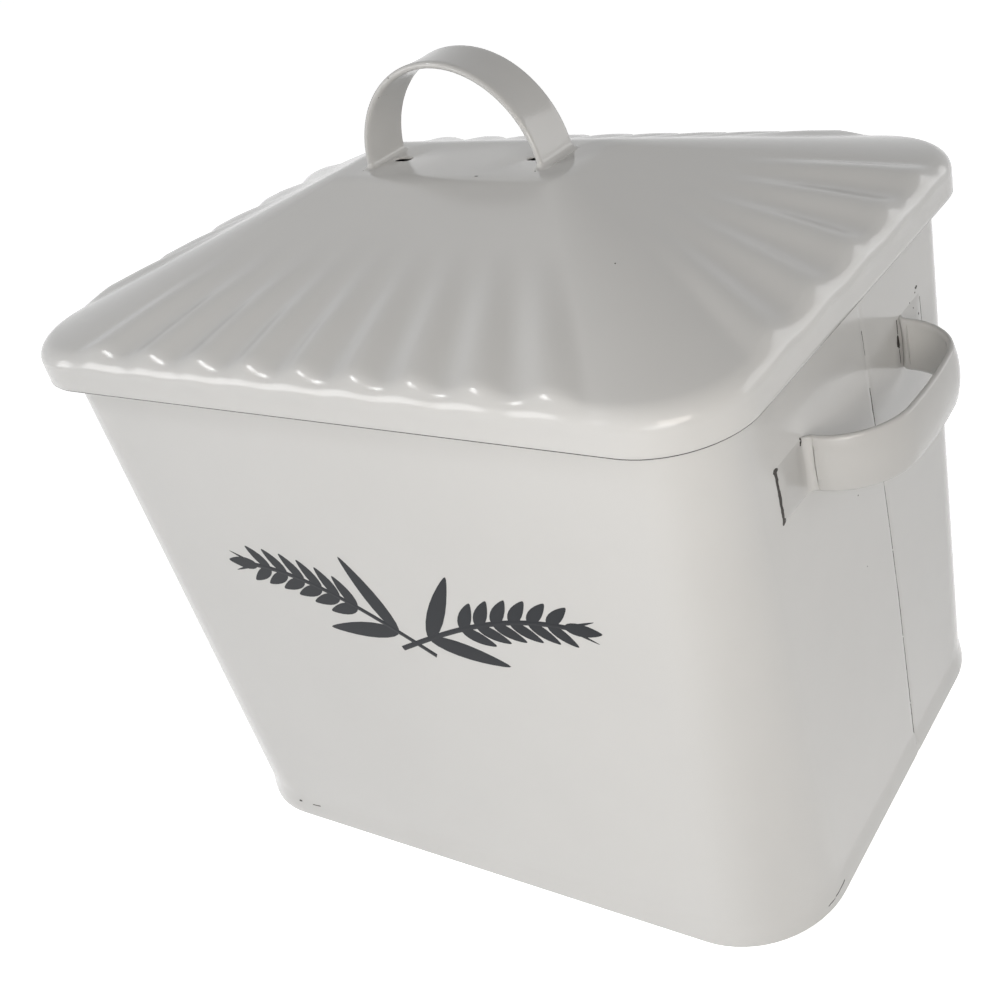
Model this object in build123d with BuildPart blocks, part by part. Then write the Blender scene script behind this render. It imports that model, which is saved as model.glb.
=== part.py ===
from build123d import *
import math
import os

# Enamelled steel bread bin: an upright bin with two strap handles, and a fluted lid that lifts off.
# Millimetres. +Z is up, the front faces -Y, and the origin is under the middle of the bin.

# Sheet steel with its enamel
sheet = 1.2

# Bin wall, measured outside, and the height of its rolled rim
bin_length = 321.0
bin_depth = 234.0
bin_height = 262.6
bottom_corner_radius = 44.0
top_corner_radius = 26.0

# Rolled rim round its stiffening wire
rim_wire_diameter = 5.0
wire_clearance = 0.1
curl_turn = 320.0

# Base pan, whose edge is folded up round the foot of the wall
base_recess = 5.0
fold_height = 7.0
fold_thickness = 1.8
fold_clearance = 0.1
fold_edge_radius = 0.8

# Side seam, on the right wall
seam_offset = 12.0
seam_gap = 0.6
seam_depth = 0.4
lap_width = 12.0
lap_thickness = 0.8
lap_clearance = 0.4

# Strap that all three handles are bent from
strap_width = 23.4
strap_thickness = 2.8
strap_edge_radius = 0.6

# Side handles
side_handle_span = 98.0
side_handle_reach = 33.5
side_handle_bend = 28.0
side_handle_height = 201.5
foot_length = 23.0
foot_thickness = 1.6
foot_bend = 3.0

# Lid skirt and roof
skirt_clearance = 1.9
skirt_depth = 15.5
seat_gap = 0.5
roof_rise = 37.2
eave_radius = 9.0
plateau_length = 122.0
plateau_depth = 43.4
plateau_corner_radius = 8.0
plateau_edge_radius = 24.0

# Flutes pressed up in the four slopes of the roof
rib_height = 2.2
rib_root = 0.9
front_rib_width = 20.0
front_rib_pitch = 28.3
front_rib_count = 9
front_rib_fan = 0.44
side_rib_width = 25.0
side_rib_pitch = 37.0
side_rib_count = 5
side_rib_fan = 0.1
rib_eave_margin = 7.5
rib_reach = 0.72

# Lid handle and the two vents beside its feet
lid_handle_span = 91.0
lid_handle_rise = 43.2
weld_toe = 2.5
vent_length = 9.0
vent_width = 4.2
vent_spacing = 70.0

# Sizes that follow
curl_radius = rim_wire_diameter / 2 + wire_clearance + sheet
rim_offset = curl_radius - sheet
rim_centre_height = bin_height - curl_radius
rim_path_length = bin_length + 2 * rim_offset
rim_path_depth = bin_depth + 2 * rim_offset
rim_path_radius = top_corner_radius + rim_offset

eave_overhang = rim_offset + curl_radius + skirt_clearance + sheet
lid_length = bin_length + 2 * eave_overhang
lid_depth = bin_depth + 2 * eave_overhang
lid_corner_radius = top_corner_radius + eave_overhang
side_run = (lid_length - plateau_length) / 2
front_run = (lid_depth - plateau_depth) / 2
side_slope = math.atan2(roof_rise, side_run)
front_slope = math.atan2(roof_rise, front_run)
rim_inset = eave_overhang - rim_offset
seat_depth = sheet + curl_radius + seat_gap
eave_height = rim_centre_height + seat_depth / math.cos(side_slope) - rim_inset * math.tan(side_slope)
hem_height = eave_height - skirt_depth
plateau_height = eave_height + roof_rise

wall_foot = sheet + fold_clearance
straight_foot = fold_height + fold_thickness


def outline(growth, height, corner_radius):
    """The bin's outline in plan, grown or shrunk all round, at a height."""
    with BuildSketch(Plane.XY.offset(height)) as plan:
        RectangleRounded(bin_length + 2 * growth, bin_depth + 2 * growth, corner_radius + growth)
    return plan.sketch


def band(inner_growth, outer_growth, height, corner_radius):
    """A ring that follows the bin's outline in plan, at a height."""
    with BuildSketch(Plane.XY.offset(height)) as plan:
        add(outline(outer_growth, height, corner_radius))
        add(outline(inner_growth, height, corner_radius), mode=Mode.SUBTRACT)
    return plan.sketch


def rim_path():
    """The line that the rim's wire follows, from the middle of the right side all the way round."""
    x = rim_path_length / 2
    y = rim_path_depth / 2
    r = rim_path_radius
    with BuildLine(Plane.XY.offset(rim_centre_height)) as path:
        Line((x, 0), (x, y - r))
        CenterArc((x - r, y - r), r, 0, 90)
        Line((x - r, y), (r - x, y))
        CenterArc((r - x, y - r), r, 90, 90)
        Line((-x, y - r), (-x, r - y))
        CenterArc((r - x, r - y), r, 180, 90)
        Line((r - x, -y), (x - r, -y))
        CenterArc((x - r, r - y), r, 270, 90)
        Line((x, r - y), (x, 0))
    return path.wire()


rim_section = Plane(origin=(rim_path_length / 2, 0, rim_centre_height), x_dir=(1, 0, 0), z_dir=(0, -1, 0))


# Bin wall: one sheet wrapped round, lapped and welded at the side seam, its top rolled outwards.
with BuildPart() as bin_wall:
    for inset, action in ((0, Mode.ADD), (sheet, Mode.SUBTRACT)):
        add(outline(-inset, wall_foot, bottom_corner_radius))
        extrude(amount=straight_foot - wall_foot, mode=action)
        add(outline(-inset, straight_foot, bottom_corner_radius))
        add(outline(-inset, rim_centre_height, top_corner_radius))
        loft(ruled=True, mode=action)

    # The lap behind the seam, on the inside
    seam_x = bin_length / 2
    lap_foot = base_recess + sheet + lap_clearance
    lap_height = rim_centre_height - lap_foot
    with BuildSketch(Plane.XY.offset(lap_foot)):
        with Locations((seam_x - sheet, seam_offset)):
            Rectangle(lap_thickness, lap_width, align=(Align.MAX, Align.MAX))
    extrude(amount=lap_height)

    # The seam itself, a fine groove from the fold at the foot to the rim
    groove_foot = fold_height + fold_clearance
    with BuildSketch(Plane.XY.offset(groove_foot)):
        with Locations((seam_x - seam_depth / 2, seam_offset)):
            Rectangle(seam_depth, seam_gap)
    extrude(amount=rim_centre_height - curl_radius - groove_foot, mode=Mode.SUBTRACT)

    # The rolled rim: most of a turn round the wire, starting from the top of the wall
    with BuildSketch(rim_section):
        with BuildLine():
            outside = CenterArc((0, 0), curl_radius, 180, -curl_turn)
            inside = CenterArc((0, 0), curl_radius - sheet, 180, -curl_turn)
            Line(outside @ 0, inside @ 0)
            Line(outside @ 1, inside @ 1)
        make_face()
    sweep(path=rim_path())
bin_wall.part.label = "bin_wall"

# Rim wire: plain steel wire closed up inside the rolled rim.
with BuildPart() as rim_wire:
    with BuildSketch(rim_section):
        Circle(rim_wire_diameter / 2)
    sweep(path=rim_path())
rim_wire.part.label = "rim_wire"

# Base pan: a floor set up from the table, with its edge turned down, out and up round the wall.
with BuildPart() as base_pan:
    add(outline(fold_clearance + fold_thickness, 0, bottom_corner_radius))
    extrude(amount=fold_height)
    foot_edges = base_pan.edges().group_by(Axis.Z)
    fillet(foot_edges[0] + foot_edges[-1], fold_edge_radius)

    # The slot that the foot of the wall stands in, and the open space above and below the floor
    add(band(-sheet - fold_clearance, fold_clearance, sheet, bottom_corner_radius))
    extrude(amount=fold_height, mode=Mode.SUBTRACT)
    add(outline(-sheet, base_recess + sheet, bottom_corner_radius))
    extrude(amount=fold_height, mode=Mode.SUBTRACT)
    add(outline(-2 * sheet - fold_clearance, 0, bottom_corner_radius))
    extrude(amount=base_recess, mode=Mode.SUBTRACT)
base_pan.part.label = "base_pan"


# Side handles: strap bent into a wide D, its ends turned out flat and welded to the wall.
def loop_plan(inset):
    """The filled D of a side handle in plan, inset from the strap's outer face."""
    reach = side_handle_reach - inset
    span = side_handle_span - 2 * inset
    with BuildSketch(Plane.XY.offset(side_handle_height - strap_width / 2)) as loop:
        with Locations((bin_length / 2, 0)):
            Rectangle(reach, span, align=(Align.MIN, Align.CENTER))
        fillet(loop.vertices().group_by(Axis.X)[-1], side_handle_bend - inset)
    return loop.sketch


with BuildPart() as side_handle_right:
    with BuildSketch(Plane.XY.offset(side_handle_height - strap_width / 2)) as strap_plan:
        add(loop_plan(0))
        with Locations((bin_length / 2, 0)):
            Rectangle(foot_thickness, side_handle_span + 2 * foot_length, align=(Align.MIN, Align.CENTER))
        bends = strap_plan.vertices().filter_by_position(
            Axis.Y, -side_handle_span / 2 - 0.1, side_handle_span / 2 + 0.1
        )
        bends = bends.filter_by_position(
            Axis.X, bin_length / 2 + foot_thickness - 0.1, bin_length / 2 + foot_thickness + 0.1
        )
        fillet(bends, foot_bend)
        add(loop_plan(strap_thickness), mode=Mode.SUBTRACT)
    extrude(amount=strap_width)
    strap_rims = side_handle_right.edges().group_by(Axis.Z)
    away_from_wall = bin_length / 2 + 0.01
    rounded = (strap_rims[0] + strap_rims[-1]).filter_by(lambda edge: edge.center().X > away_from_wall)
    fillet(rounded, strap_edge_radius)
side_handle_right.part.label = "side_handle_right"

with BuildPart() as side_handle_left:
    mirror(side_handle_right.part, about=Plane.YZ)
side_handle_left.part.label = "side_handle_left"


# Lid: one pressing, a hipped roof over a short skirt, with flutes pressed up in all four slopes.
def rib(end, start, slope_plane_normal, width, rise, root):
    """One flute above its slope: a slice of a lean cone with a ball at its outer end.

    end is the centre of the ball on the slope, start is where the flute has died away, and root is
    how far the slice reaches below the slope.
    """
    along = (start - end).normalized()
    length = (start - end).length
    ball = ((width / 2) ** 2 + rise**2) / (2 * rise)
    depth = ball - rise
    on_slope = Plane(origin=end, x_dir=along, z_dir=slope_plane_normal)
    below = end - slope_plane_normal * depth
    with BuildPart() as flute:
        with BuildSketch(Plane(origin=below, x_dir=along, z_dir=along.cross(slope_plane_normal))):
            with BuildLine():
                Line((-ball, 0), (length, 0))
                Line((length, 0), (length, depth))
                Line((length, depth), (0, ball))
                CenterArc((0, 0), ball, 90, 90)
            make_face()
        revolve(axis=Axis(below, along))
        with BuildSketch(on_slope.offset(-root)):
            with Locations((-width, 0)):
                Rectangle(length + 2 * width, 2 * width, align=(Align.MIN, Align.CENTER))
        extrude(amount=root + 2 * rise, mode=Mode.INTERSECT)
    return flute.part


def ribs_on_slope(half_length, run, slope, width, pitch, count, fan, turn, root):
    """The row of flutes on one slope and on the slope facing it, fanning out from the plateau."""
    normal = Vector(math.sin(slope), 0, math.cos(slope)).rotate(Axis.Z, turn)
    end_run = rib_eave_margin + width / 2
    row = []
    for index in range(count):
        offset = (index - (count - 1) / 2) * pitch
        end = Vector(half_length - end_run, offset, eave_height + end_run * math.tan(slope))
        top = Vector(half_length - run, offset * fan, plateau_height)
        start = end + (top - end) * rib_reach
        flute = rib(end.rotate(Axis.Z, turn), start.rotate(Axis.Z, turn), normal, width, rib_height, root)
        row.append(flute)
        row.append(flute.rotate(Axis.Z, 180))
    return row


def all_ribs(root):
    """The flutes of all four slopes."""
    side_rib = (side_rib_width, side_rib_pitch, side_rib_count, side_rib_fan)
    front_rib = (front_rib_width, front_rib_pitch, front_rib_count, front_rib_fan)
    return [
        *ribs_on_slope(lid_length / 2, side_run, side_slope, *side_rib, 0, root),
        *ribs_on_slope(lid_depth / 2, front_run, front_slope, *front_rib, -90, root),
    ]


def roof(inset):
    """The filled lid, inset from its outer face all round and on top, down to its hem."""
    eave_drop = inset / math.cos(side_slope) - inset * math.tan(side_slope)
    plateau_inset = inset * math.tan(side_slope / 2)
    eave = (lid_length - 2 * inset, lid_depth - 2 * inset, lid_corner_radius - inset)
    flat = (
        plateau_length - 2 * plateau_inset,
        plateau_depth - 2 * plateau_inset,
        plateau_corner_radius - plateau_inset,
    )
    with BuildPart() as filled:
        with BuildSketch(Plane.XY.offset(hem_height)):
            RectangleRounded(*eave)
        extrude(amount=skirt_depth - eave_drop)
        with BuildSketch(Plane.XY.offset(eave_height - eave_drop)):
            RectangleRounded(*eave)
        with BuildSketch(Plane.XY.offset(plateau_height - inset)):
            RectangleRounded(*flat)
        loft(ruled=True)
        levels = filled.edges().filter_by(lambda edge: abs(edge.tangent_at(0.5).Z) < 0.01).group_by(Axis.Z)
        fillet(levels[-1], plateau_edge_radius)
        levels = filled.edges().filter_by(lambda edge: abs(edge.tangent_at(0.5).Z) < 0.01).group_by(Axis.Z)
        fillet(levels[1], eave_radius - inset)
    return filled.part


with BuildPart() as lid_shell:
    add(roof(0))
    add(roof(sheet), mode=Mode.SUBTRACT)
    one_sheet_down = Location((0, 0, -sheet / math.cos(side_slope)))
    add(all_ribs(rib_root))
    add([hollow.moved(one_sheet_down) for hollow in all_ribs(rib_root + sheet)], mode=Mode.SUBTRACT)
    with BuildSketch(Plane.XY.offset(plateau_height - 2 * sheet)):
        with Locations((-vent_spacing / 2, 0), (vent_spacing / 2, 0)):
            SlotOverall(vent_length, vent_width)
    extrude(amount=3 * sheet, mode=Mode.SUBTRACT)
lid_shell.part.label = "lid_shell"

# Lid handle: the same strap bent into an arch, its ends welded to the plateau.
with BuildPart() as lid_handle:
    half_span = lid_handle_span / 2
    handle_radius = (half_span**2 + lid_handle_rise**2) / (2 * lid_handle_rise)
    centre_height = lid_handle_rise - handle_radius
    inner_radius = handle_radius - strap_thickness
    inner_half_span = math.sqrt(inner_radius**2 - centre_height**2)
    arch_plane = Plane(origin=(0, strap_width / 2, plateau_height), x_dir=(1, 0, 0), z_dir=(0, -1, 0))
    with BuildSketch(arch_plane):
        with BuildLine():
            outer = ThreePointArc((-half_span, 0), (0, lid_handle_rise), (half_span, 0))
            inner = ThreePointArc(
                (-inner_half_span, 0), (0, lid_handle_rise - strap_thickness), (inner_half_span, 0)
            )
            Line(outer @ 0, inner @ 0)
            Line(outer @ 1, inner @ 1)
        make_face()
        for side in (-1, 1):
            with BuildLine():
                toe_top = math.sqrt(inner_radius**2 - (weld_toe - centre_height) ** 2)
                Polyline(
                    (side * (inner_half_span + weld_toe / 2), 0),
                    (side * (inner_half_span - weld_toe), 0),
                    (side * toe_top, weld_toe),
                    (side * (inner_half_span + weld_toe / 2), weld_toe),
                    close=True,
                )
            make_face()
    extrude(amount=strap_width)
    outer_rims = lid_handle.edges().group_by(Axis.Y)
    long_edges = (outer_rims[0] + outer_rims[-1]).filter_by(lambda edge: edge.length > lid_handle_span / 2)
    fillet(long_edges, strap_edge_radius)
lid_handle.part.label = "lid_handle"


os.makedirs("parts", exist_ok=True)
export_step(bin_wall.part, "parts/bin_wall.step")
export_step(rim_wire.part, "parts/rim_wire.step")
export_step(base_pan.part, "parts/base_pan.step")
export_step(side_handle_right.part, "parts/side_handle_right.step")
export_step(side_handle_left.part, "parts/side_handle_left.step")
export_step(lid_shell.part, "parts/lid_shell.step")
export_step(lid_handle.part, "parts/lid_handle.step")
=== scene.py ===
import math
import random

import bmesh
import bpy
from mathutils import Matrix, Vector
from mathutils.bvhtree import BVHTree


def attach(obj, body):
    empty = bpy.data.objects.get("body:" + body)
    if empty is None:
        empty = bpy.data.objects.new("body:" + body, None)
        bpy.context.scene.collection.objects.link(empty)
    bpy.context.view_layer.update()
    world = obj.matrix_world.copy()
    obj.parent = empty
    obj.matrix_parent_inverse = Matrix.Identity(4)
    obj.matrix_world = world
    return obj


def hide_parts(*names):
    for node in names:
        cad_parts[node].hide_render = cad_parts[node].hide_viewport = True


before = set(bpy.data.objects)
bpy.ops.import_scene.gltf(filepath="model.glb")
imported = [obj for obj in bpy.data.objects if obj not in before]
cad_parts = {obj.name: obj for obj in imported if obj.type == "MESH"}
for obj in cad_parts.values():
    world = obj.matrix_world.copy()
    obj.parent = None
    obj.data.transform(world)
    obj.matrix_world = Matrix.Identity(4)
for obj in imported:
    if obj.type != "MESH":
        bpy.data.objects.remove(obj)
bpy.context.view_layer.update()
mm = 0.001


# ---------------------------------------------------------------------------------------------------
# Bin wall. One sheet of steel wrapped round and lapped at a side seam, its top edge rolled outwards
# round a wire. Dipped in white enamel and fired, which leaves a thick, glassy, faintly wavy coat.
sheet = 1.2 * mm
bin_half_length = 160.5 * mm
bin_half_depth = 117 * mm
foot_corner_radius = 44 * mm
rim_corner_radius = 26 * mm
fold_height = 6.8 * mm
flare_height = 14 * mm
flare_reach = 1.4 * mm
rim_centre_height = 258.8 * mm
rim_offset = 2.6 * mm
rim_turn = 320
seam_course = [
    (260 * mm, 12 * mm),
    (226 * mm, 12 * mm),
    (190 * mm, 14 * mm),
    (150 * mm, 16.5 * mm),
    (95 * mm, 18 * mm),
    (0, 17 * mm),
]
seam_depth = 0.3 * mm
seam_half_width = 1.2 * mm
wall_steps = 2, 150, 16
sharp_angle = math.radians(50)
warm_white = 0.74, 0.738, 0.728


def new_finish(name):
    """A material with nodes, and its shader."""
    material = bpy.data.materials.new(name)
    material.use_nodes = True
    return material, material.node_tree.nodes["Principled BSDF"]


def clouds(tree, scale, detail=2):
    """A soft noise over the piece, from 0 to 1."""
    place = tree.nodes.new("ShaderNodeTexCoord")
    noise = tree.nodes.new("ShaderNodeTexNoise")
    noise.inputs["Scale"].default_value = scale
    noise.inputs["Detail"].default_value = detail
    tree.links.new(place.outputs["Object"], noise.inputs["Vector"])
    return noise.outputs["Fac"]


def vary_colour(tree, shader, noise, first, last, low=0, high=1):
    """Lets the colour run from one tone to another as the noise goes from low to high."""
    ramp = tree.nodes.new("ShaderNodeValToRGB")
    for stop, position, tone in zip(ramp.color_ramp.elements, (low, high), (first, last)):
        stop.position = position
        stop.color = (*tone, 1)
    tree.links.new(noise, ramp.inputs["Fac"])
    tree.links.new(ramp.outputs["Color"], shader.inputs["Base Color"])


def vary_roughness(tree, shader, noise, low, high):
    """Lets the roughness run between two values with the noise."""
    spread = tree.nodes.new("ShaderNodeMapRange")
    spread.inputs["To Min"].default_value = low
    spread.inputs["To Max"].default_value = high
    tree.links.new(noise, spread.inputs["Value"])
    tree.links.new(spread.outputs["Result"], shader.inputs["Roughness"])


def white_enamel(name, tone, wave_height):
    """Glossy enamel: a warm white, mottled a little, over a surface that ripples slightly."""
    material, shader = new_finish(name)
    tree = material.node_tree
    shader.inputs["IOR"].default_value = 1.46
    mottle = clouds(tree, scale=9, detail=3)
    darker = [channel * 0.965 for channel in tone]
    vary_colour(tree, shader, mottle, darker, tone, low=0.3, high=0.7)
    vary_roughness(tree, shader, mottle, low=0.13, high=0.2)
    raised = tree.nodes.new("ShaderNodeBump")
    raised.inputs["Strength"].default_value = 1
    raised.inputs["Distance"].default_value = wave_height
    tree.links.new(clouds(tree, scale=26, detail=1.5), raised.inputs["Height"])
    tree.links.new(raised.outputs["Normal"], shader.inputs["Normal"])
    return material


def rounded_loop(half_length, half_depth, radius, height, long_steps, short_steps, corner_steps):
    """Points round a rounded rectangle, starting on the right side and running to the back."""
    points = []
    corners = ((1, 1), (-1, 1), (-1, -1), (1, -1))
    for index, (toward_x, toward_y) in enumerate(corners):
        centre = Vector((toward_x * (half_length - radius), toward_y * (half_depth - radius), height))
        for step in range(corner_steps + 1):
            turn = math.radians(90 * (index + step / corner_steps))
            points.append(centre + radius * Vector((math.cos(turn), math.sin(turn), 0)))
        steps = long_steps if index % 2 == 0 else short_steps
        next_x, next_y = corners[(index + 1) % 4]
        turn = math.radians(90 * (index + 1))
        ahead = Vector((next_x * (half_length - radius), next_y * (half_depth - radius), height))
        ahead += radius * Vector((math.cos(turn), math.sin(turn), 0))
        side_start = points[-1]
        points += [side_start.lerp(ahead, step / steps) for step in range(1, steps)]
    return points


def skin_loops(name, loops, bottom=False, top=False):
    """A mesh object over a stack of loops with as many points each, lowest or innermost first."""
    form = bmesh.new()
    rings = [[form.verts.new(point) for point in loop] for loop in loops]
    for lower, upper in zip(rings, rings[1:]):
        for index in range(len(lower)):
            after = (index + 1) % len(lower)
            form.faces.new((lower[index], lower[after], upper[after], upper[index]))
    if bottom:
        form.faces.new(reversed(rings[0]))
    if top:
        form.faces.new(rings[-1])
    mesh = bpy.data.meshes.new(name)
    form.to_mesh(mesh)
    form.free()
    piece = bpy.data.objects.new(name, mesh)
    bpy.context.scene.collection.objects.link(piece)
    return piece


def settle(piece, body, stands_for=None):
    """Turns a piece and its modifiers into one plain, smooth mesh that rides on its body."""
    graph = bpy.context.evaluated_depsgraph_get()
    mesh = bpy.data.meshes.new_from_object(piece.evaluated_get(graph))
    mesh.name = piece.name
    piece.modifiers.clear()
    piece.data = mesh
    mesh.shade_smooth()
    mesh.set_sharp_from_angle(angle=sharp_angle)
    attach(piece, body)
    if stands_for:
        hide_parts(stands_for)


def thicken(piece, thickness):
    """Gives a one-sided sheet its thickness, on the side away from its normals."""
    wall = piece.modifiers.new("thickness", "SOLIDIFY")
    wall.thickness = thickness
    wall.offset = -1
    wall.use_even_offset = True


def wall_loop(growth, height):
    """The wall's outline at a height. Its corners tighten evenly from the foot to the rim."""
    share = min(1, max(0, (height - fold_height) / (rim_centre_height - fold_height)))
    radius = foot_corner_radius + (rim_corner_radius - foot_corner_radius) * share + growth
    half_length = bin_half_length + growth
    half_depth = bin_half_depth + growth
    return rounded_loop(half_length, half_depth, radius, height, *wall_steps)


def ease(value, low, high):
    """0 below low, 1 above high, and a smooth rise between them."""
    share = min(1, max(0, (value - low) / (high - low)))
    return share * share * (3 - 2 * share)


def shares(steps):
    """How much of a run is done after each of its steps, up to 1."""
    return [step / steps for step in range(1, steps + 1)]


def seam_at(height):
    """How far back the seam lies at a height. The lap wandered a little when it was welded."""
    for (high, high_y), (low, low_y) in zip(seam_course, seam_course[1:]):
        if height >= low:
            return high_y + (low_y - high_y) * (high - height) / (high - low)
    return seam_course[-1][1]


wall_enamel = white_enamel("wall_enamel", warm_white, wave_height=0.35 * mm)
toe = 1.2 * mm
foot_gap = 0.2 * mm
toe_top = foot_gap + toe
wall_loops = [wall_loop(flare_reach - toe, foot_gap)]
for share in shares(4):
    turn = math.radians(90 * share)
    reach = flare_reach - toe * (1 - math.sin(turn))
    wall_loops.append(wall_loop(reach, foot_gap + toe * (1 - math.cos(turn))))
for share in shares(12):
    height = toe_top + (flare_height - toe_top) * share
    wall_loops.append(wall_loop(flare_reach * (1 - ease(share, 0, 1)), height))
for share in shares(40):
    wall_loops.append(wall_loop(0, flare_height + (rim_centre_height - flare_height) * share))
for share in shares(24):
    turn = math.radians(180 - rim_turn * share)
    reach = rim_offset + rim_offset * math.cos(turn)
    wall_loops.append(wall_loop(reach, rim_centre_height + rim_offset * math.sin(turn)))
inside_roll = bin_half_length + 2 * mm
for loop in wall_loops:
    for point in loop:
        from_seam = (point.y - seam_at(point.z)) / seam_half_width
        if 0 < point.x < inside_roll and point.z < rim_centre_height:
            point.x -= seam_depth * math.exp(-from_seam * from_seam)
bin_wall = skin_loops("enamel_bin_wall", wall_loops)
thicken(bin_wall, sheet)
bin_wall.data.materials.append(wall_enamel)
settle(bin_wall, "bin", "bin_wall")


# ---------------------------------------------------------------------------------------------------
# Rim wire. Plain drawn steel wire, closed up inside the rolled rim, where it can only be seen through
# the slit of the roll. It stays as the frame has it, in dull steel.
wire_steel, wire_shader = new_finish("wire_steel")
wire_shader.inputs["Metallic"].default_value = 1
wire_shader.inputs["Base Color"].default_value = (0.36, 0.34, 0.32, 1)
drawn_marks = clouds(wire_steel.node_tree, scale=400)
vary_roughness(wire_steel.node_tree, wire_shader, drawn_marks, low=0.35, high=0.6)
rim_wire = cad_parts["rim_wire"]
rim_wire.data.materials.clear()
rim_wire.data.materials.append(wire_steel)


# ---------------------------------------------------------------------------------------------------
# Base pan. The floor, set up a little from the table. Its edge turns down, out, and up round the foot
# of the wall, where the enamel has run over the fold and drowned it.
floor_height = 5 * mm
fold_reach = 1.15 * mm
fold_clearance = 0.1 * mm
pan_steps = 2, 2, 24


def pan_loop(growth, height):
    """The base pan's outline, grown or shrunk all round."""
    return rounded_loop(
        bin_half_length + growth,
        bin_half_depth + growth,
        foot_corner_radius + growth,
        height,
        *pan_steps,
    )


slot_inside = -sheet - fold_clearance
pan_inside = slot_inside - sheet
pan_profile = [
    (pan_inside, floor_height),
    (pan_inside, 1.0 * mm),
    (pan_inside + 0.3 * mm, 0.3 * mm),
    (pan_inside + 1.0 * mm, 0),
    (fold_reach - 1.3 * mm, 0),
    (fold_reach - 0.6 * mm, 0.25 * mm),
    (fold_reach - 0.15 * mm, 0.8 * mm),
    (fold_reach, 1.8 * mm),
    (fold_reach, 3.2 * mm),
    (fold_reach - 0.15 * mm, 4.8 * mm),
    (fold_reach - 0.4 * mm, fold_height - 0.4 * mm),
    (fold_reach - 0.6 * mm, fold_height - 0.15 * mm),
    (fold_clearance + 0.4 * mm, fold_height - 0.15 * mm),
    (fold_clearance, sheet),
    (slot_inside, sheet),
    (slot_inside, floor_height + sheet),
]
pan_loops = [pan_loop(growth, height) for growth, height in pan_profile]
base_pan = skin_loops("enamel_base_pan", pan_loops, bottom=True, top=True)
base_pan.data.materials.append(wall_enamel)
settle(base_pan, "bin", "base_pan")


# ---------------------------------------------------------------------------------------------------
# Side handles. Steel strap bent into a wide D, with its two feet turned out flat and welded to the
# wall before the enamel goes on. The strap's edges are round and its outer face is crowned.
strap_width = 23.4 * mm
strap_thickness = 2.8 * mm
foot_thickness = 0.8 * mm
side_handle_height = 201.5 * mm
side_handle_half_span = 49 * mm
side_handle_reach = 33.5 * mm
side_handle_bend = 27 * mm
foot_length = 23 * mm
foot_bend = 4.5 * mm


def bent_path(corners, radii, arc_steps):
    """Points along straight runs joined by arcs. Each corner but the first and last has a radius."""
    points = [corners[0]]
    for before, corner, after, radius in zip(corners, corners[1:], corners[2:], radii):
        arriving = (corner - before).normalized()
        leaving = (after - corner).normalized()
        turn = arriving.angle(leaving)
        cut = radius * math.tan(turn / 2)
        start = corner - arriving * cut
        centre = start + (leaving - arriving * leaving.dot(arriving)).normalized() * radius
        inward = (centre - start).normalized()
        for step in range(arc_steps + 1):
            swept = turn * step / arc_steps
            along = arriving * radius * math.sin(swept)
            points.append(centre - inward * radius * math.cos(swept) + along)
    points.append(corners[-1])
    return points


def finer(points, spacing):
    """The same path with extra points wherever two lie further apart than the spacing."""
    path = [points[0]]
    for point in points[1:]:
        steps = max(1, math.ceil((point - path[-1]).length / spacing))
        start = path[-1]
        path += [start.lerp(point, share) for share in shares(steps)]
    return path


def strap_section(width, thickness, crown):
    """A strap's section with round edges: (across, out, and the way out of the section there)."""
    half_flat = width / 2 - thickness / 2
    flat_steps, edge_steps = 6, 6
    section = []
    for side in (1, -1):
        for step in range(-flat_steps, flat_steps + 1):
            share = side * step / flat_steps
            out = side * thickness / 2 + crown * (1 - share * share)
            section.append((half_flat * share, out, 0, side))
        for step in range(1, edge_steps):
            turn = math.radians(90 * side - 180 * step / edge_steps)
            side_way, out_way = math.cos(turn), math.sin(turn)
            sideways = side * half_flat + thickness / 2 * side_way
            section.append((sideways, thickness / 2 * out_way, side_way, out_way))
    return section


def bend_strap(name, path, across, thickness_at, crown_at, swell_at):
    """Sweeps the strap's section along a path. across is the direction of the strap's width."""
    lengths = [0]
    for here, there in zip(path, path[1:]):
        lengths.append(lengths[-1] + (there - here).length)
    loops = []
    for index, point in enumerate(path):
        ahead = path[min(index + 1, len(path) - 1)] - path[max(index - 1, 0)]
        out = ahead.normalized().cross(across)
        place = lengths[index], lengths[-1] - lengths[index]
        swell = swell_at(*place)
        section = strap_section(strap_width, thickness_at(*place), crown_at(*place))
        loop = []
        for sideways, outwards, side_way, out_way in section:
            sideways += swell * side_way
            outwards += swell * out_way
            loop.append(point + across * sideways + out * outwards)
        loops.append(loop)
    return skin_loops(name, loops, bottom=True, top=True)


# The handles are the same white enamel as the wall; their darker tone here is painted shade.
handle_enamel_painted_shade = white_enamel("handle_enamel_painted_shade", (0.63, 0.626, 0.615), wave_height=0.2 * mm)
loop_crown_height = 1.5 * mm
foot_crown_height = 0.7 * mm
foot_taper = 6 * mm
foot_edge = 3 * mm
crown_run = 14 * mm
foot_sink = 0.35 * mm
middle_of_foot = bin_half_length - foot_sink
side_handle_bulge = 2.2 * mm
crest = strap_thickness / 2 + loop_crown_height
outer_run = bin_half_length + side_handle_reach - crest - side_handle_bulge / 2
strap_line = side_handle_half_span - strap_thickness / 2
foot_end = side_handle_half_span + foot_length
bulge_start = bin_half_length + 4 * mm
bends = foot_bend, side_handle_bend, side_handle_bend, foot_bend


def loop_thickness(from_start, to_end):
    """Thin at the feet, full in the loop."""
    nearest = min(from_start, to_end)
    grown = ease(nearest, foot_length - foot_taper, foot_length + foot_taper)
    return foot_thickness + (strap_thickness - foot_thickness) * grown


def loop_crown(from_start, to_end):
    """A low swelling at the feet, where the enamel has drowned them, and well crowned in the loop."""
    nearest = min(from_start, to_end)
    grown = ease(nearest, foot_length, foot_length + crown_run)
    crown = foot_crown_height + (loop_crown_height - foot_crown_height) * grown
    return crown * ease(nearest, 0, foot_edge)


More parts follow.
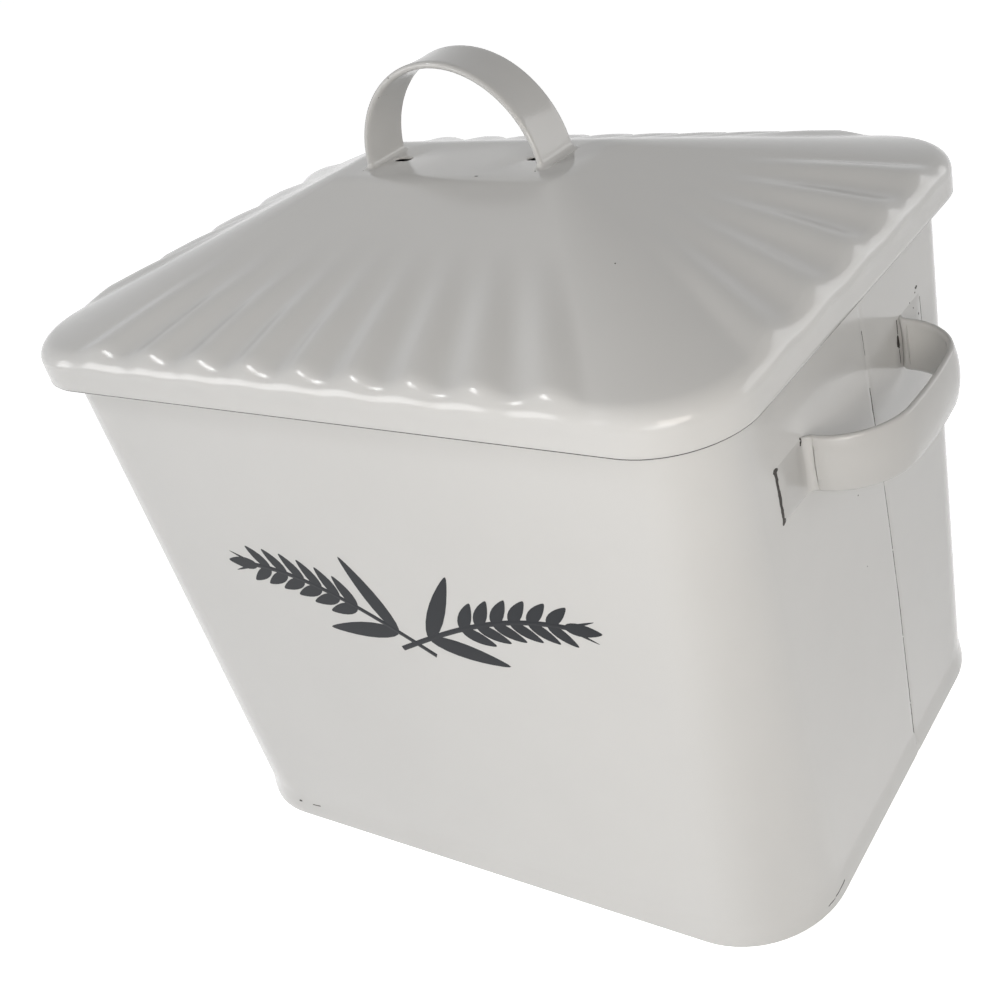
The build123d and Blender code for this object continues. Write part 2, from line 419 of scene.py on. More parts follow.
def no_swell(from_start, to_end):
    """A strap that doesn't swell at its ends."""
    return 0


for side, name in ((1, "side_handle_right"), (-1, "side_handle_left")):
    plan = [
        (middle_of_foot, -foot_end),
        (middle_of_foot, -strap_line),
        (outer_run, -strap_line),
        (outer_run, strap_line),
        (middle_of_foot, strap_line),
        (middle_of_foot, foot_end),
    ]
    corners = [Vector((x, y, side_handle_height)) for x, y in plan]
    path = finer(bent_path(corners, bends, arc_steps=12), spacing=3 * mm)
    for point in path:
        if point.x > bulge_start:
            point.x += side_handle_bulge * math.cos(math.pi / 2 * point.y / strap_line) ** 2
    if side < 0:
        path = [Vector((-point.x, -point.y, point.z)) for point in path]
    handle = bend_strap("enamel_" + name, path, Vector((0, 0, 1)), loop_thickness, loop_crown, no_swell)
    handle.data.materials.append(handle_enamel_painted_shade)
    settle(handle, "bin", name)


# ---------------------------------------------------------------------------------------------------
# Front ornament. Two ears of wheat, stencilled in dark blue-grey enamel over the white and fired with
# it. It stands barely proud of the wall, and shines less than the white does.
ink, ink_shader = new_finish("stencil_ink")
ink_shader.inputs["Specular IOR Level"].default_value = 0.22
ink_clouds = clouds(ink.node_tree, scale=60)
vary_colour(ink.node_tree, ink_shader, ink_clouds, (0.014, 0.016, 0.020), (0.022, 0.025, 0.031))
vary_roughness(ink.node_tree, ink_shader, ink_clouds, low=0.28, high=0.38)


def calculate(tree, operation, *values):
    """Adds one Math node. Each value is a number or another node's socket."""
    node = tree.nodes.new("ShaderNodeMath")
    node.operation = operation
    for socket, value in zip(node.inputs, values):
        if isinstance(value, (int, float)):
            socket.default_value = value
        else:
            tree.links.new(value, socket)
    return node.outputs[0]


def new_tree(name, sizes):
    """A Geometry Nodes tree with a geometry in and out, and a named float input for each size."""
    tree = bpy.data.node_groups.new(name, "GeometryNodeTree")
    tree.interface.new_socket("Geometry", in_out="INPUT", socket_type="NodeSocketGeometry")
    tree.interface.new_socket("Geometry", in_out="OUTPUT", socket_type="NodeSocketGeometry")
    for size in sizes:
        tree.interface.new_socket(size, in_out="INPUT", socket_type="NodeSocketFloat")
    tree.interface.new_socket("Finish", in_out="INPUT", socket_type="NodeSocketMaterial")
    return tree, tree.nodes.new("NodeGroupInput").outputs


def end_tree(tree, geometry, finish):
    """Ends a tree with Realize Instances and Set Material."""
    real = tree.nodes.new("GeometryNodeRealizeInstances")
    coat = tree.nodes.new("GeometryNodeSetMaterial")
    done = tree.nodes.new("NodeGroupOutput")
    tree.links.new(geometry, real.inputs["Geometry"])
    tree.links.new(real.outputs["Geometry"], coat.inputs["Geometry"])
    tree.links.new(finish, coat.inputs["Material"])
    tree.links.new(coat.outputs["Geometry"], done.inputs["Geometry"])


def run_tree(piece, tree, sizes, finish):
    """Puts a tree on a piece and sets its inputs."""
    modifier = piece.modifiers.new(tree.name, "NODES")
    modifier.node_group = tree
    values = {**sizes, "Finish": finish}
    for item in tree.interface.items_tree:
        if item.item_type == "SOCKET" and item.in_out == "INPUT" and item.name in values:
            modifier[item.identifier] = values[item.name]


def leaf_form(tree, length, width, thickness):
    """A flat pointed leaf that starts at the origin and runs along X."""
    disc = tree.nodes.new("GeometryNodeMeshCylinder")
    disc.inputs["Vertices"].default_value = 20
    disc.inputs["Radius"].default_value = 1
    disc.inputs["Depth"].default_value = 1
    where = tree.nodes.new("GeometryNodeInputPosition")
    apart = tree.nodes.new("ShaderNodeSeparateXYZ")
    tree.links.new(where.outputs[0], apart.inputs[0])
    along = calculate(tree, "MULTIPLY_ADD", apart.outputs["X"], 0.5, 0.5)
    taper = calculate(tree, "MULTIPLY", calculate(tree, "POWER", along, 2), 0.55)
    narrowing = calculate(tree, "SUBTRACT", 1, taper)
    half_width = calculate(tree, "MULTIPLY", width, 0.5)
    narrowed = calculate(tree, "MULTIPLY", apart.outputs["Y"], narrowing)
    across = calculate(tree, "MULTIPLY", narrowed, half_width)
    together = tree.nodes.new("ShaderNodeCombineXYZ")
    tree.links.new(calculate(tree, "MULTIPLY", along, length), together.inputs["X"])
    tree.links.new(across, together.inputs["Y"])
    tree.links.new(calculate(tree, "MULTIPLY", apart.outputs["Z"], thickness), together.inputs["Z"])
    moved = tree.nodes.new("GeometryNodeSetPosition")
    tree.links.new(disc.outputs["Mesh"], moved.inputs["Geometry"])
    tree.links.new(together.outputs[0], moved.inputs["Position"])
    return moved.outputs["Geometry"]


def leaves_on_stem(tree, stems, form, start, end, count, spread, tip_scale):
    """Copies of a form along part of each stem, turned off its course by the spread.

    Each stem gets one place more than the count, and its last one stays empty.
    """
    part = tree.nodes.new("GeometryNodeTrimCurve")
    part.mode = "FACTOR"
    part.inputs["Start"].default_value = start
    part.inputs["End"].default_value = end
    places = tree.nodes.new("GeometryNodeResampleCurve")
    places.inputs["Count"].default_value = count + 1
    course = tree.nodes.new("GeometryNodeInputTangent")
    parts = tree.nodes.new("ShaderNodeSeparateXYZ")
    turned = tree.nodes.new("ShaderNodeCombineXYZ")
    progress = tree.nodes.new("GeometryNodeSplineParameter")
    copies = tree.nodes.new("GeometryNodeInstanceOnPoints")
    tree.links.new(stems, part.inputs["Curve"])
    tree.links.new(part.outputs["Curve"], places.inputs["Curve"])
    tree.links.new(course.outputs[0], parts.inputs[0])
    heading = calculate(tree, "ARCTAN2", parts.outputs["Y"], parts.outputs["X"])
    tree.links.new(calculate(tree, "ADD", heading, spread), turned.inputs["Z"])
    tree.links.new(places.outputs["Curve"], copies.inputs["Points"])
    tree.links.new(form, copies.inputs["Instance"])
    tree.links.new(turned.outputs[0], copies.inputs["Rotation"])
    scale = calculate(tree, "MULTIPLY_ADD", progress.outputs["Factor"], tip_scale - 1, 1)
    tree.links.new(scale, copies.inputs["Scale"])
    before_last = calculate(tree, "LESS_THAN", progress.outputs["Factor"], 1 - 0.5 / count)
    tree.links.new(before_last, copies.inputs["Selection"])
    return copies.outputs["Instances"]


wheat_sizes = {
    "Grain length": 17 * mm,
    "Grain width": 6.8 * mm,
    "Grain spread": math.radians(38),
    "Awn length": 15 * mm,
    "Awn width": 1.5 * mm,
    "Awn spread": math.radians(20),
    "Leaf length": 40 * mm,
    "Leaf width": 9 * mm,
    "Leaf spread": math.radians(34),
    "Stem width": 2.4 * mm,
    "Grain thickness": 0.2 * mm,
    "Awn thickness": 0.12 * mm,
    "Leaf thickness": 0.16 * mm,
    "Stem thickness": 0.26 * mm,
}
wheat_tree, sizes = new_tree("wheat_ears", wheat_sizes)
to_curve = wheat_tree.nodes.new("GeometryNodeMeshToCurve")
wheat_tree.links.new(sizes["Geometry"], to_curve.inputs["Mesh"])
stems = to_curve.outputs["Curve"]
grain = leaf_form(wheat_tree, sizes["Grain length"], sizes["Grain width"], sizes["Grain thickness"])
awn = leaf_form(wheat_tree, sizes["Awn length"], sizes["Awn width"], sizes["Awn thickness"])
leaf = leaf_form(wheat_tree, sizes["Leaf length"], sizes["Leaf width"], sizes["Leaf thickness"])
all_parts = wheat_tree.nodes.new("GeometryNodeJoinGeometry")
for form, start, end, count, name, tip_scale in (
    (grain, 0.42, 1, 6, "Grain spread", 0.85),
    (awn, 0.99, 1, 1, "Awn spread", 1),
    (leaf, 0.2, 0.21, 1, "Leaf spread", 1),
):
    for way in (1, -1):
        spread = calculate(wheat_tree, "MULTIPLY", sizes[name], way)
        copies = leaves_on_stem(wheat_tree, stems, form, start, end, count, spread, tip_scale)
        wheat_tree.links.new(copies, all_parts.inputs[0])
last_grain = leaves_on_stem(wheat_tree, stems, grain, 0.985, 1, 1, 0, 1)
wheat_tree.links.new(last_grain, all_parts.inputs[0])
stem_profile = wheat_tree.nodes.new("GeometryNodeCurvePrimitiveCircle")
stem_profile.inputs["Resolution"].default_value = 8
stem_radius = calculate(wheat_tree, "MULTIPLY", sizes["Stem width"], 0.5)
wheat_tree.links.new(stem_radius, stem_profile.inputs["Radius"])
round_stems = wheat_tree.nodes.new("GeometryNodeCurveToMesh")
round_stems.inputs["Fill Caps"].default_value = True
wheat_tree.links.new(stems, round_stems.inputs["Curve"])
wheat_tree.links.new(stem_profile.outputs["Curve"], round_stems.inputs["Profile Curve"])
flat_stems = wheat_tree.nodes.new("GeometryNodeTransform")
flattening = wheat_tree.nodes.new("ShaderNodeCombineXYZ")
flattening.inputs["X"].default_value = 1
flattening.inputs["Y"].default_value = 1
stem_share = calculate(wheat_tree, "DIVIDE", sizes["Stem thickness"], sizes["Stem width"])
wheat_tree.links.new(stem_share, flattening.inputs["Z"])
wheat_tree.links.new(flattening.outputs[0], flat_stems.inputs["Scale"])
wheat_tree.links.new(round_stems.outputs["Mesh"], flat_stems.inputs["Geometry"])
wheat_tree.links.new(flat_stems.outputs["Geometry"], all_parts.inputs[0])
ears_x, ears_height = 6 * mm, 152 * mm
on_wall = wheat_tree.nodes.new("GeometryNodeTransform")
on_wall.inputs["Translation"].default_value = (ears_x, -bin_half_depth, ears_height)
on_wall.inputs["Rotation"].default_value = (math.radians(90), 0, 0)
wheat_tree.links.new(all_parts.outputs[0], on_wall.inputs["Geometry"])
end_tree(wheat_tree, on_wall.outputs["Geometry"], sizes["Finish"])

stem_start, stem_run = -9 * mm, 91 * mm
stem_low, stem_rise = -20 * mm, 30 * mm
stem_points, stem_edges = [], []
for way in (1, -1):
    first = len(stem_points)
    for share in (0, *shares(32)):
        up = stem_low + stem_rise * math.sin(math.pi / 2 * share)
        stem_points.append((way * (stem_start + stem_run * share), up, 0))
    stem_edges += [(index, index + 1) for index in range(first, len(stem_points) - 1)]
stem_mesh = bpy.data.meshes.new("wheat_ears")
stem_mesh.from_pydata(stem_points, stem_edges, [])
wheat_ears = bpy.data.objects.new("stencilled_wheat_ears", stem_mesh)
bpy.context.scene.collection.objects.link(wheat_ears)
run_tree(wheat_ears, wheat_tree, wheat_sizes, ink)
settle(wheat_ears, "bin")


# ---------------------------------------------------------------------------------------------------
# Lid shell. One deep pressing: a short skirt, a rounded shoulder, four hipped slopes fluted like a
# scallop shell, and a small flat plateau with two vent slots. Enamelled white inside and out.
lid_half_length = 170 * mm
lid_half_depth = 126.5 * mm
lid_corner_radius = 35.5 * mm
hem_height = 246.8 * mm
hem_inset = 0.35 * mm
hem_round = 0.5 * mm
eave_height = 262.3 * mm
plateau_height = 299.5 * mm
plateau_half_length = 61 * mm
plateau_half_depth = 21.7 * mm
plateau_corner_radius = 8 * mm
shoulder_radius = 9 * mm
plateau_edge_radius = 24 * mm
vent_half_length = 4.5 * mm
vent_half_width = 2.1 * mm
vent_x = 35 * mm
vent_steps = 40
vent_lip = [(0.9 * mm, 0), (0.4 * mm, 0.1 * mm), (0.1 * mm, 0.4 * mm), (0, 0.8 * mm)]
lid_steps = 110, 76, 18

side_run = lid_half_length - plateau_half_length
front_run = lid_half_depth - plateau_half_depth
slope_run = (side_run + front_run) / 2
slope = math.atan2(plateau_height - eave_height, slope_run)


def lid_loop(inset, height):
    """The lid's outline at an inset from its skirt, between the eave's outline and the plateau's."""
    share = inset / slope_run
    return rounded_loop(
        lid_half_length - side_run * share,
        lid_half_depth - front_run * share,
        lid_corner_radius + (plateau_corner_radius - lid_corner_radius) * share,
        height,
        *lid_steps,
    )


shoulder_cut = shoulder_radius * math.tan((math.pi / 2 - slope) / 2)
shoulder_centre = eave_height - shoulder_cut
ridge_cut = plateau_edge_radius * math.tan(slope / 2)
skirt_start = hem_height + hem_round
lid_loops = [lid_loop(hem_inset, hem_height), lid_loop(0, skirt_start)]
for share in shares(5):
    lid_loops.append(lid_loop(0, skirt_start + (shoulder_centre - skirt_start) * share))
for share in shares(12):
    turn = (math.pi / 2 - slope) * share
    inset = shoulder_radius * (1 - math.cos(turn))
    lid_loops.append(lid_loop(inset, shoulder_centre + shoulder_radius * math.sin(turn)))
shoulder_end = shoulder_radius * (1 - math.sin(slope))
slope_end = slope_run - ridge_cut * math.cos(slope)
for share in shares(44):
    inset = shoulder_end + (slope_end - shoulder_end) * share
    lid_loops.append(lid_loop(inset, eave_height + inset * math.tan(slope)))
for share in shares(8):
    turn = slope * (1 - share)
    inset = slope_run + ridge_cut - plateau_edge_radius * math.sin(turn)
    lid_loops.append(lid_loop(inset, plateau_height - plateau_edge_radius * (1 - math.cos(turn))))
lid_shell = skin_loops("enamel_lid_shell", lid_loops)


def slot_loop(centre_x, growth, height):
    """A vent slot's outline, two half circles joined by straight sides, grown all round."""
    points = []
    for step in range(vent_steps):
        turn = math.tau * step / vent_steps
        along = math.copysign(vent_half_length - vent_half_width, math.cos(turn))
        reach = vent_half_width + growth
        x = centre_x + along + reach * math.cos(turn)
        points.append(Vector((x, reach * math.sin(turn), height)))
    return points


def ring_edges(form, ring):
    """The edges round a closed ring of corners."""
    return [form.edges.get((ring[index - 1], ring[index])) for index in range(len(ring))]


form = bmesh.new()
form.from_mesh(lid_shell.data)
form.verts.ensure_lookup_table()
last_ring = form.verts[-len(lid_loops[-1]):]
open_edges = ring_edges(form, last_ring)
for centre_x in (-vent_x, vent_x):
    lips = []
    for growth, drop in vent_lip:
        outline = slot_loop(centre_x, growth, plateau_height - drop)
        lips.append([form.verts.new(point) for point in outline])
    for outer, inner in zip(lips, lips[1:]):
        for index in range(len(outer)):
            form.faces.new((outer[index - 1], outer[index], inner[index], inner[index - 1]))
    open_edges += ring_edges(form, lips[0])
bmesh.ops.triangle_fill(form, use_beauty=True, edges=open_edges)
bmesh.ops.recalc_face_normals(form, faces=form.faces)
if sum(face.normal.z * face.calc_area() for face in form.faces) < 0:
    bmesh.ops.reverse_faces(form, faces=form.faces)
form.to_mesh(lid_shell.data)
form.free()


def smooth_rise(tree, value, low, high):
    """0 below low, 1 above high, and a smooth rise between them, as nodes."""
    node = tree.nodes.new("ShaderNodeMapRange")
    node.interpolation_type = "SMOOTHSTEP"
    tree.links.new(value, node.inputs["Value"])
    for name, bound in (("From Min", low), ("From Max", high)):
        if isinstance(bound, (int, float)):
            node.inputs[name].default_value = bound
        else:
            tree.links.new(bound, node.inputs[name])
    return node.outputs["Result"]


flute_sizes = {
    "Rise": 2.6 * mm,
    "Front pitch": 27 * mm,
    "Front widening": 4.6,
    "Front fan": 0.44,
    "Front half row": 136 * mm,
    "Side pitch": 37 * mm,
    "Side widening": 0,
    "Side fan": 0.1,
    "Side half row": 96 * mm,
}
flutes_grow = 0.32, 0.84
flutes_end = 0.925, 0.985
end_drop = 0.68
row_end_width = 12 * mm
least_widening = 0.02
above_hem = hem_height + 5 * mm, eave_height - 1 * mm
flute_tree, sizes = new_tree("lid_flutes", flute_sizes)
place = flute_tree.nodes.new("GeometryNodeInputPosition")
split = flute_tree.nodes.new("ShaderNodeSeparateXYZ")
flute_tree.links.new(place.outputs[0], split.inputs[0])


def flute_row(tree, along, away, plateau_away, run, pitch, outward_widening, fan, half_row):
    """The height, from 0 to 1, of one slope's flutes: along runs beside the eave, away towards it."""
    from_plateau = calculate(tree, "SUBTRACT", calculate(tree, "ABSOLUTE", away), plateau_away)
    share = calculate(tree, "DIVIDE", from_plateau, run)
    widening = calculate(tree, "MULTIPLY_ADD", share, calculate(tree, "SUBTRACT", 1, fan), fan)
    spread = calculate(tree, "DIVIDE", along, calculate(tree, "MAXIMUM", widening, least_widening))
    squared = calculate(tree, "MULTIPLY", spread, spread)
    stretch = calculate(tree, "MULTIPLY_ADD", squared, outward_widening, 1)
    turned = calculate(tree, "MULTIPLY", spread, math.tau)
    phase = calculate(tree, "DIVIDE", turned, calculate(tree, "MULTIPLY", pitch, stretch))
    wave = calculate(tree, "MULTIPLY_ADD", calculate(tree, "COSINE", phase), 0.5, 0.5)
    row_end = calculate(tree, "SUBTRACT", half_row, row_end_width)
    beyond = smooth_rise(tree, calculate(tree, "ABSOLUTE", spread), row_end, half_row)
    inside = calculate(tree, "SUBTRACT", 1, beyond)
    grown = smooth_rise(tree, share, *flutes_grow)
    ended = calculate(tree, "MULTIPLY", smooth_rise(tree, share, *flutes_end), end_drop)
    strength = calculate(tree, "MULTIPLY", grown, calculate(tree, "SUBTRACT", 1, ended))
    return calculate(tree, "MULTIPLY", calculate(tree, "MULTIPLY", wave, inside), strength)


front_row = flute_row(
    flute_tree, split.outputs["X"], split.outputs["Y"], plateau_half_depth, front_run,
    sizes["Front pitch"], sizes["Front widening"], sizes["Front fan"], sizes["Front half row"],
)
side_row = flute_row(
    flute_tree, split.outputs["Y"], split.outputs["X"], plateau_half_length, side_run,
    sizes["Side pitch"], sizes["Side widening"], sizes["Side fan"], sizes["Side half row"],
)
above_skirt = smooth_rise(flute_tree, split.outputs["Z"], *above_hem)
all_rows = calculate(flute_tree, "MAXIMUM", front_row, side_row)
lift = calculate(flute_tree, "MULTIPLY", all_rows, above_skirt)
lift = calculate(flute_tree, "MULTIPLY", lift, sizes["Rise"])
outwards = flute_tree.nodes.new("GeometryNodeInputNormal")
push = flute_tree.nodes.new("ShaderNodeVectorMath")
push.operation = "SCALE"
flute_tree.links.new(outwards.outputs[0], push.inputs[0])
flute_tree.links.new(lift, push.inputs["Scale"])
press = flute_tree.nodes.new("GeometryNodeSetPosition")
flute_tree.links.new(sizes["Geometry"], press.inputs["Geometry"])
flute_tree.links.new(push.outputs["Vector"], press.inputs["Offset"])
end_tree(flute_tree, press.outputs["Geometry"], sizes["Finish"])

lid_enamel = white_enamel("lid_enamel", warm_white, wave_height=0.25 * mm)
# The lowest half millimetre of the lid is coloured near black, fading into the enamel just above it: a
# dark line along the hem.
dark_hem_band = 0.55 * mm
dark_hem_fade = 0.1 * mm
lid_nodes, lid_links = lid_enamel.node_tree.nodes, lid_enamel.node_tree.links
lid_shader = lid_nodes["Principled BSDF"]
enamel_tint = lid_shader.inputs["Base Color"].links[0].from_socket
edge_place = lid_nodes.new("ShaderNodeTexCoord")
edge_height = lid_nodes.new("ShaderNodeSeparateXYZ")
edge_fade = lid_nodes.new("ShaderNodeMapRange")
edge_fade.inputs["From Min"].default_value = hem_height + dark_hem_band
edge_fade.inputs["From Max"].default_value = hem_height + dark_hem_band + dark_hem_fade
edge_colour = lid_nodes.new("ShaderNodeMix")
edge_colour.data_type = "RGBA"
edge_colour.inputs["A"].default_value = (0.03, 0.026, 0.024, 1)
lid_links.new(edge_place.outputs["Object"], edge_height.inputs[0])
lid_links.new(edge_height.outputs["Z"], edge_fade.inputs["Value"])
lid_links.new(edge_fade.outputs["Result"], edge_colour.inputs["Factor"])
lid_links.new(enamel_tint, edge_colour.inputs["B"])
lid_links.new(edge_colour.outputs["Result"], lid_shader.inputs["Base Color"])
run_tree(lid_shell, flute_tree, flute_sizes, lid_enamel)
thicken(lid_shell, sheet)
settle(lid_shell, "lid", "lid_shell")


# ---------------------------------------------------------------------------------------------------
# Lid handle. The same steel strap bent into an arch, its ends welded to the plateau. The enamel has
# filled the corner round each end, so that the legs swell into the lid.
lid_handle_half_span = 45.5 * mm
lid_handle_rise = 43 * mm
weld_reach = 2.6 * mm

arch_radius = (lid_handle_half_span**2 + lid_handle_rise**2) / (2 * lid_handle_rise)
arch_centre = plateau_height + lid_handle_rise - arch_radius
middle_radius = arch_radius - strap_thickness / 2
sink = 0.6 * mm
arch_start = math.asin((plateau_height - sink - arch_centre) / middle_radius)
arch_path = []
for share in (0, *shares(96)):
    turn = math.pi - arch_start + (2 * arch_start - math.pi) * share
    height = arch_centre + middle_radius * math.sin(turn)
    arch_path.append(Vector((middle_radius * math.cos(turn), 0, height)))
arch_path = finer(arch_path, spacing=0.6 * mm)
arch_crown_height = 0.35 * mm
arch_crown_rise = 3 * mm, 16 * mm


def arch_thickness(from_start, to_end):
    """The arch is as thick all along."""
    return strap_thickness


def arch_crown(from_start, to_end):
    """Slightly crowned, and flat where the strap meets the lid."""
    return arch_crown_height * ease(min(from_start, to_end), *arch_crown_rise)


def weld_swell(from_start, to_end):
    """The fillet of enamel round each end."""
    above = max(0, min(from_start, to_end) - sink)
    if above > weld_reach:
        return 0
    return weld_reach - math.sqrt(weld_reach**2 - (weld_reach - above) ** 2)


lid_handle = bend_strap(
    "enamel_lid_handle", arch_path, Vector((0, -1, 0)), arch_thickness, arch_crown, weld_swell
)
lid_handle.data.materials.append(handle_enamel_painted_shade)
settle(lid_handle, "lid", "lid_handle")


# ---------------------------------------------------------------------------------------------------
# Bare spots. Chips, pinholes and hairline cracks in the enamel, where the steel shows black: along
# the seam, round the handles' feet, on the foot of the bin, and a few on the lid and its handle.
bare_steel, bare_shader = new_finish("bare_steel")
bare_shader.inputs["Roughness"].default_value = 0.55
rust = clouds(bare_steel.node_tree, scale=900)
vary_colour(bare_steel.node_tree, bare_shader, rust, (0.004, 0.004, 0.004), (0.030, 0.020, 0.014))
spot_height = 0.07 * mm
spot_depth = 0.25 * mm
probe_distance = 0.3
ragged = random.Random(7)


def chip(across, along, half_across, half_along):
    """A ragged round chip's outline, in millimetres on the face it lies in."""
    outline = []
    for step in range(12):
        turn = math.tau * step / 12
        reach = ragged.uniform(0.72, 1.2)
        sideways = half_across * reach * math.cos(turn)
        upwards = half_along * reach * math.sin(turn)
        outline.append((across + sideways, along + upwards))
    return outline


def crack(start, end, width, steps, wander):
    """A ragged crack's outline between two points, in millimetres on the face it lies in."""
    run_across, run_along = end[0] - start[0], end[1] - start[1]
    length = math.hypot(run_across, run_along)
    one_side, other_side = [], []
    for step in range(steps + 1):
        share = step / steps
        drift = ragged.uniform(-wander, wander) if 0 < step < steps else 0
        across = start[0] + run_across * share - run_along / length * drift
        along = start[1] + run_along * share + run_across / length * drift
        half = width / 2 * ragged.uniform(0.7, 1.15)
        one_side.append((across + run_along / length * half, along - run_across / length * half))
        other_side.append((across - run_along / length * half, along + run_across / length * half))
    return one_side + other_side[::-1]


def bare_spots(name, body, faces):
    """One thin mesh of spots laid on pieces. Each face is (pieces, way in, across, along, outlines)."""
    form = bmesh.new()
    for pieces, way_in, across, along, outlines in faces:
        points, polygons = [], []
        for piece in pieces:
            first = len(points)
            points += [vertex.co.copy() for vertex in piece.data.vertices]
            for polygon in piece.data.polygons:
                polygons.append([first + index for index in polygon.vertices])
        surface = BVHTree.FromPolygons(points, polygons)
        for outline in outlines:
            outer, inner = [], []
            for far, high in outline:
                start = across * far * mm + along * high * mm - way_in * probe_distance
                meeting = surface.ray_cast(start, way_in)[0]
                if meeting is None:
                    break
                outer.append(form.verts.new(meeting - way_in * spot_height))
                inner.append(form.verts.new(meeting + way_in * spot_depth))
            if len(outer) < len(outline):
                continue
            for index in range(len(outer)):
                form.faces.new((outer[index - 1], outer[index], inner[index], inner[index - 1]))
            form.faces.new(outer)
            form.faces.new(reversed(inner))
    bmesh.ops.recalc_face_normals(form, faces=form.faces)
    mesh = bpy.data.meshes.new(name)
    form.to_mesh(mesh)
    form.free()
    spots = bpy.data.objects.new(name, mesh)
    bpy.context.scene.collection.objects.link(spots)
    mesh.materials.append(bare_steel)
    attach(spots, body)


right_handle = bpy.data.objects["enamel_side_handle_right"]
axis_x, axis_y, axis_z = Vector((1, 0, 0)), Vector((0, 1, 0)), Vector((0, 0, 1))
seam_breaks = [
    (225, 214, 0.3),
    (199, 181, 0.65),
    (160, 118, 0.35),
    (117, 70, 0.4),
    (69, 31, 0.35),
    (30, 12, 0.45),
]
seam_cracks = []
for top, bottom, width in seam_breaks:
    middle = (top + bottom) / 2
    for upper, lower in ((top, middle), (middle, bottom)):
        ends = [(seam_at(height * mm) / mm, height) for height in (upper, lower)]
        seam_cracks.append(crack(*ends, width, 8, 0.12))
handle_corner_spots = [
    chip(45.7, 203, 1.4, 2.9),
    crack((46, 213), (46, 206.5), 0.6, 6, 0.1),
    crack((46.1, 199.5), (46.2, 193), 0.4, 5, 0.1),
]
right_side_spots = [
    crack((-72.2, 212.6), (-71.6, 190.6), 1.7, 22, 0.12),
    chip(-72, 212.4, 1.8, 1.0),
    chip(-71.5, 190.8, 1.3, 1.3),
    crack((-52, 210.9), (-50.6, 213.6), 0.75, 4, 0.05),
    chip(70, 216.6, 1.3, 0.6),
    chip(68.3, 214.9, 0.5, 0.4),
    chip(61.6, 213.2, 0.3, 0.3),
    chip(64.2, 209.8, 0.35, 0.35),
    chip(68.6, 205.1, 0.5, 0.5),
    crack((73, 211), (73, 199), 0.22, 10, 0.05),
    chip(-9.7, 162.8, 0.35, 0.3),
    chip(-9.6, 127.7, 0.25, 0.25),
    chip(20.8, 167, 0.3, 0.4),
    crack((-80.5, 5.2), (-72, 6.6), 0.5, 10, 0.15),
    crack((-86, 4.6), (-81.5, 4.9), 0.3, 6, 0.1),
]
front_spots = [chip(-116.3, 8.4, 1, 0.5), crack((-107.8, 8.3), (-102.6, 8.7), 0.55, 5, 0.05)]
bare_spots(
    "bin_bare_spots",
    "bin",
    [
        ((bin_wall,), -axis_x, axis_y, axis_z, seam_cracks + handle_corner_spots),
        ((bin_wall, right_handle), -axis_x, axis_y, axis_z, right_side_spots),
        ((bin_wall,), axis_y, axis_x, axis_z, front_spots),
    ],
)
handle_spots = [
    chip(41.9, 316, 0.3, 0.5),
    chip(-33.4, 322.5, 0.35, 0.5),
    chip(-28.3, 329, 0.25, 0.25),
    chip(-19.6, 337, 0.3, 0.25),
]
top_spots = [
    chip(18.5, -19.6, 0.9, 0.35),
    chip(43.8, -14.6, 0.4, 0.3),
    chip(-46, -13.4, 0.35, 0.3),
    chip(104, -60, 0.3, 0.3),
]
bare_spots(
    "lid_bare_spots",
    "lid",
    [
        ((lid_handle,), axis_y, axis_x, axis_z, handle_spots),
        ((lid_shell,), -axis_z, axis_x, axis_y, top_spots),
    ],
)


# ---------------------------------------------------------------------------------------------------
# Stage. A plain pale floor under a white sky, soft lamps and the camera. The main lamp stands at the
# left front, a wide one at the right back, and three smaller ones nearer to the bin.
floor_mesh = bpy.data.meshes.new("floor")
floor_size = 6
floor_drop = 0.2 * mm
floor_corners = [(x * floor_size, y * floor_size, 0) for x, y in ((-1, -1), (1, -1), (1, 1), (-1, 1))]
floor_mesh.from_pydata(floor_corners, [], [(0, 1, 2, 3)])
floor = bpy.data.objects.new("floor", floor_mesh)
bpy.context.scene.collection.objects.link(floor)
floor.location.z = -floor_drop
floor_paint, floor_shader = new_finish("floor_paint")
floor_shader.inputs["Base Color"].default_value = (0.75, 0.75, 0.75, 1)
floor_shader.inputs["Roughness"].default_value = 0.9
floor_shader.inputs["Specular IOR Level"].default_value = 0.2
floor_shader.inputs["Emission Color"].default_value = (1, 1, 1, 1)
floor_mesh.materials.append(floor_paint)
world = bpy.data.worlds.new("studio")
bpy.context.scene.world = world
world.use_nodes = True
sky = world.node_tree.nodes["Background"]
sky.inputs["Color"].default_value = (1, 1, 1, 1)


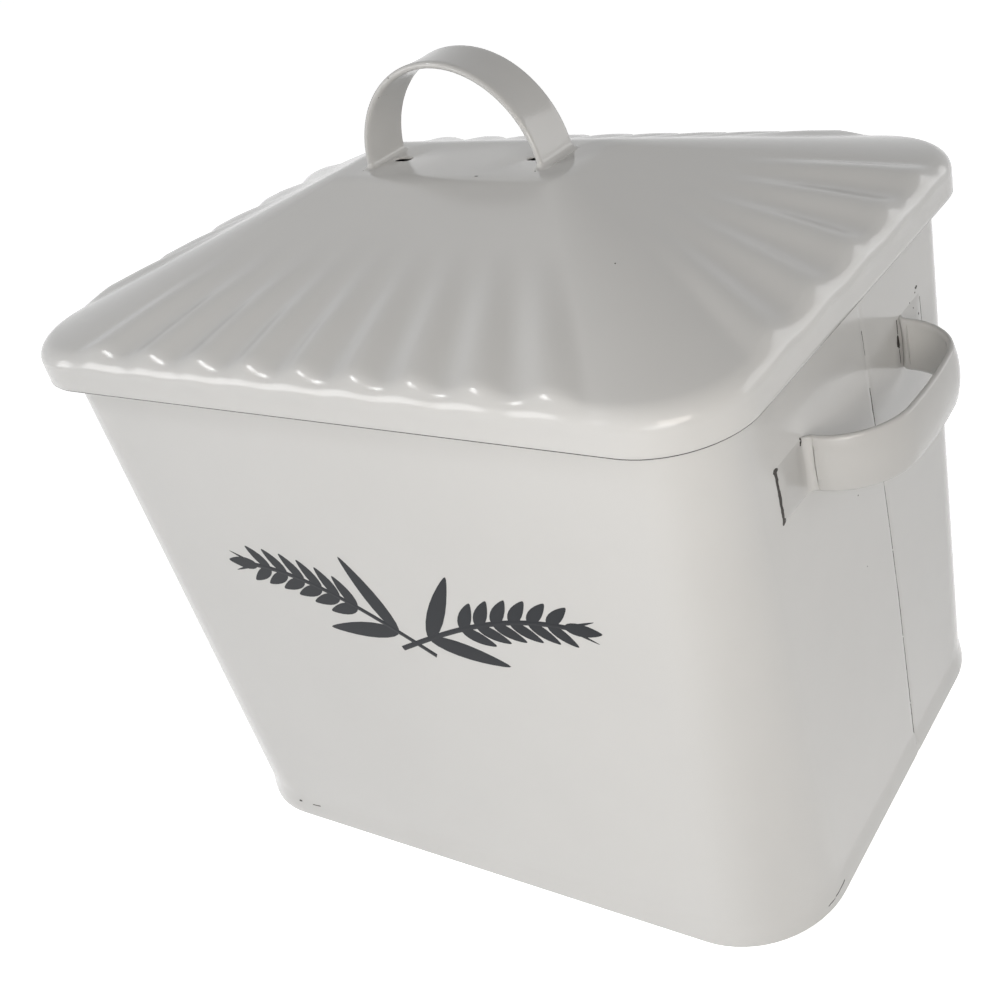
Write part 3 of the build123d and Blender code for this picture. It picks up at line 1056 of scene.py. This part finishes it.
def seen_directly(tree, unseen, seen):
    """A strength that differs for what the camera sees, straight, in a reflection or through glass."""
    path = tree.nodes.new("ShaderNodeLightPath")
    straight = calculate(tree, "MAXIMUM", path.outputs["Is Camera Ray"], path.outputs["Is Glossy Ray"])
    either = calculate(tree, "MAXIMUM", straight, path.outputs["Is Transmission Ray"])
    return calculate(tree, "MULTIPLY_ADD", either, seen - unseen, unseen)


floor_glow = seen_directly(floor_paint.node_tree, unseen=0, seen=0.85)
floor_paint.node_tree.links.new(floor_glow, floor_shader.inputs["Emission Strength"])
sky_light = seen_directly(world.node_tree, unseen=0.16, seen=1)
world.node_tree.links.new(sky_light, sky.inputs["Strength"])


def soft_lamp(name, place, target, width, height, watts, colour=(1, 1, 1)):
    """A rectangular soft lamp that faces a target."""
    lamp = bpy.data.lights.new(name, "AREA")
    lamp.shape = "RECTANGLE"
    lamp.size = width
    lamp.size_y = height
    lamp.energy = watts
    lamp.color = colour
    holder = bpy.data.objects.new(name, lamp)
    bpy.context.scene.collection.objects.link(holder)
    holder.location = place
    holder.rotation_euler = (Vector(target) - Vector(place)).to_track_quat("-Z", "Y").to_euler()


soft_lamp("left_front_lamp", (-1.6, -1.65, 0.62), (0, 0, 0.15), 1.2, 0.8, 13)
soft_lamp("near_front_lamp", (0.5, -0.9, 0.34), (0.1, -0.1, 0.18), 0.5, 0.3, 1.6)
soft_lamp("right_lamp", (0.55, -0.6, 0.5), (0.12, -0.04, 0.24), 0.4, 0.3, 2, (1, 0.94, 0.86))
soft_lamp("back_lamp", (1.75, 1.85, 0.6), (0, 0, 0.15), 1.9, 1.1, 12)
soft_lamp("window", (-0.92, -0.80, 1.3), (0, -0.12, 0.26), 0.3, 0.2, 2.6)

photo_width = 1000
focal_pixels = 1348.9
centre_column = 665
lens = bpy.data.cameras.new("camera")
lens.sensor_width = 36
lens.lens = focal_pixels / photo_width * lens.sensor_width
lens.shift_x = (photo_width / 2 - centre_column) / photo_width
camera = bpy.data.objects.new("camera", lens)
bpy.context.scene.collection.objects.link(camera)
camera.location = (0.3624, -0.4232, 0.4545)
camera.rotation_euler = (math.radians(58.256), math.radians(10.521), math.radians(29.059))
bpy.context.scene.camera = camera
bpy.context.scene.view_settings.view_transform = "Standard"
